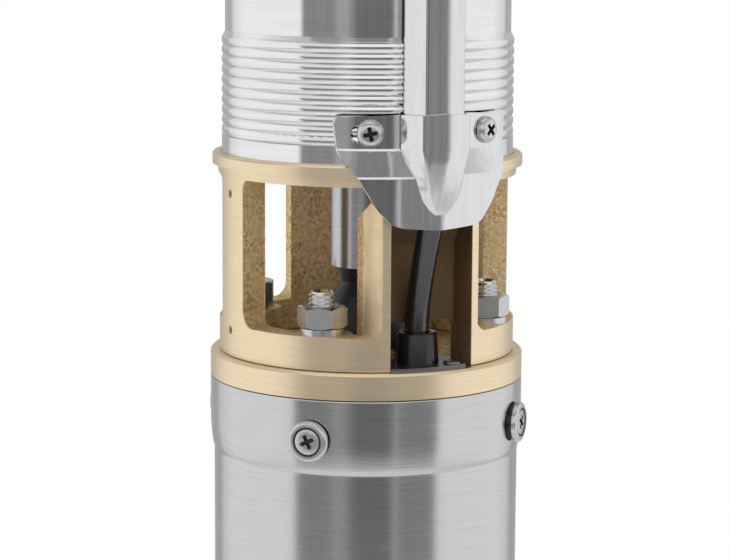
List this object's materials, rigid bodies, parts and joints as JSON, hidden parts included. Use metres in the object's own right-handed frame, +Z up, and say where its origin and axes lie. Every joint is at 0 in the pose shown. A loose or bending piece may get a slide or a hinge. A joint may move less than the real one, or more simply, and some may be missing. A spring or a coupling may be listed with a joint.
{
  "type": "borehole submersible pump",
  "caption": "Slim stainless steel borehole submersible pump with a brass intake bracket, splined coupling, cable guard and coiled motor lead.",
  "frame": {"origin": "middle of the flat underside of the motor's base", "axes": "+Z up along the shaft towards the discharge thread; the lead's guard is at 45 degrees between +X and -Y"},
  "size_m": [0.1048, 0.1036, 0.6336],
  "materials": {
    "motor_steel": "brushed along the tube",
    "pump_steel": "polished sheet",
    "brass": "machined outside, sand cast inside",
    "fastener_steel": "bright",
    "shaft_steel": "ground",
    "coupling_steel": "turned",
    "guard_steel": "bright sheet",
    "black_rubber": "gloss",
    "sheath": "satin",
    "core_insulation": "satin",
    "tie_plastic": "satin",
    "iron": "machined",
    "laminations": "stacked sheet",
    "windings": "enamelled wire",
    "cage_metal": "cast",
    "bearing_steel": "ground",
    "ceramic": "lapped",
    "moulded": "moulded"
  },
  "bodies": {
    "housing": {"motor_casing": "motor_steel", "pump_casing": "pump_steel", "motor_head": "brass", "intake_bracket": "brass", "discharge_head": "brass", "motor_studs": "fastener_steel", "stud_nuts": "fastener_steel", "stud_spring_washers": "fastener_steel", "head_screws": "fastener_steel", "head_screw_cups": "guard_steel", "head_screw_seals": "black_rubber", "stator_core": "laminations", "stator_windings": "windings", "bearing_outer_rings": "bearing_steel", "lower_bearing_housing": "iron", "pressure_diaphragm": "black_rubber", "motor_base": "iron", "base_screws": "fastener_steel", "shaft_seal_seat": "ceramic", "cable_gland": "black_rubber", "gland_plate": "guard_steel", "gland_screw": "fastener_steel", "suction_plate": "guard_steel", "neck_rings": "black_rubber", "bearing_bush": "black_rubber", "bearing_spider": "moulded", "valve_seat": "moulded", "valve_cage": "moulded", "valve_spring": "fastener_steel", "cable_guard": "guard_steel", "guard_foot": "guard_steel", "guard_clip": "guard_steel", "guard_screws": "fastener_steel", "motor_lead": "sheath", "lead_coil": "sheath", "lead_ties": "tie_plastic", "lead_cores": "core_insulation", "bowl_1": "moulded", "bowl_2": "moulded", "bowl_3": "moulded", "bowl_4": "moulded", "bowl_5": "moulded"},
    "motor_rotor": {"motor_shaft": "shaft_steel", "rotor_core": "laminations", "rotor_cage": "cage_metal", "bearing_inner_rings": "bearing_steel", "shaft_seal_head": "black_rubber", "sand_slinger": "black_rubber"},
    "pump_rotor": {"shaft_coupling": "coupling_steel", "coupling_pin": "fastener_steel", "pump_shaft": "shaft_steel", "shaft_nut": "shaft_steel", "impeller_1": "moulded", "impeller_2": "moulded", "impeller_3": "moulded", "impeller_4": "moulded", "impeller_5": "moulded"},
    "lower_balls": {"lower_bearing_balls": "bearing_steel"},
    "upper_balls": {"upper_bearing_balls": "bearing_steel"},
    "check_valve": {"valve_poppet": "moulded"}
  },
  "joints": [
    {"name": "rotor_spin", "type": "hinge", "parent": "housing", "child": "motor_rotor", "pos_m": [0, 0, 0.3], "axis": [0, 0, 1], "continuous": true},
    {"name": "pump_spin", "type": "hinge", "parent": "housing", "child": "pump_rotor", "pos_m": [0, 0, 0.36], "axis": [0, 0, 1], "continuous": true},
    {"name": "lower_cage_spin", "type": "hinge", "parent": "housing", "child": "lower_balls", "pos_m": [0, 0, 0.046], "axis": [0, 0, 1], "continuous": true},
    {"name": "upper_cage_spin", "type": "hinge", "parent": "housing", "child": "upper_balls", "pos_m": [0, 0, 0.283], "axis": [0, 0, 1], "continuous": true},
    {"name": "valve_lift", "type": "slide", "parent": "housing", "child": "check_valve", "axis": [0, 0, 1], "range_m": [0, 0.008], "stiffness_N_per_m": 300, "springref_m": -0.004, "deforming": ["valve_spring"]}
  ],
  "couplings": [
    {"joint": "pump_spin", "follows": "rotor_spin", "ratio": 1},
    {"joint": "lower_cage_spin", "follows": "rotor_spin", "ratio": 0.3816},
    {"joint": "upper_cage_spin", "follows": "rotor_spin", "ratio": 0.3816}
  ]
}
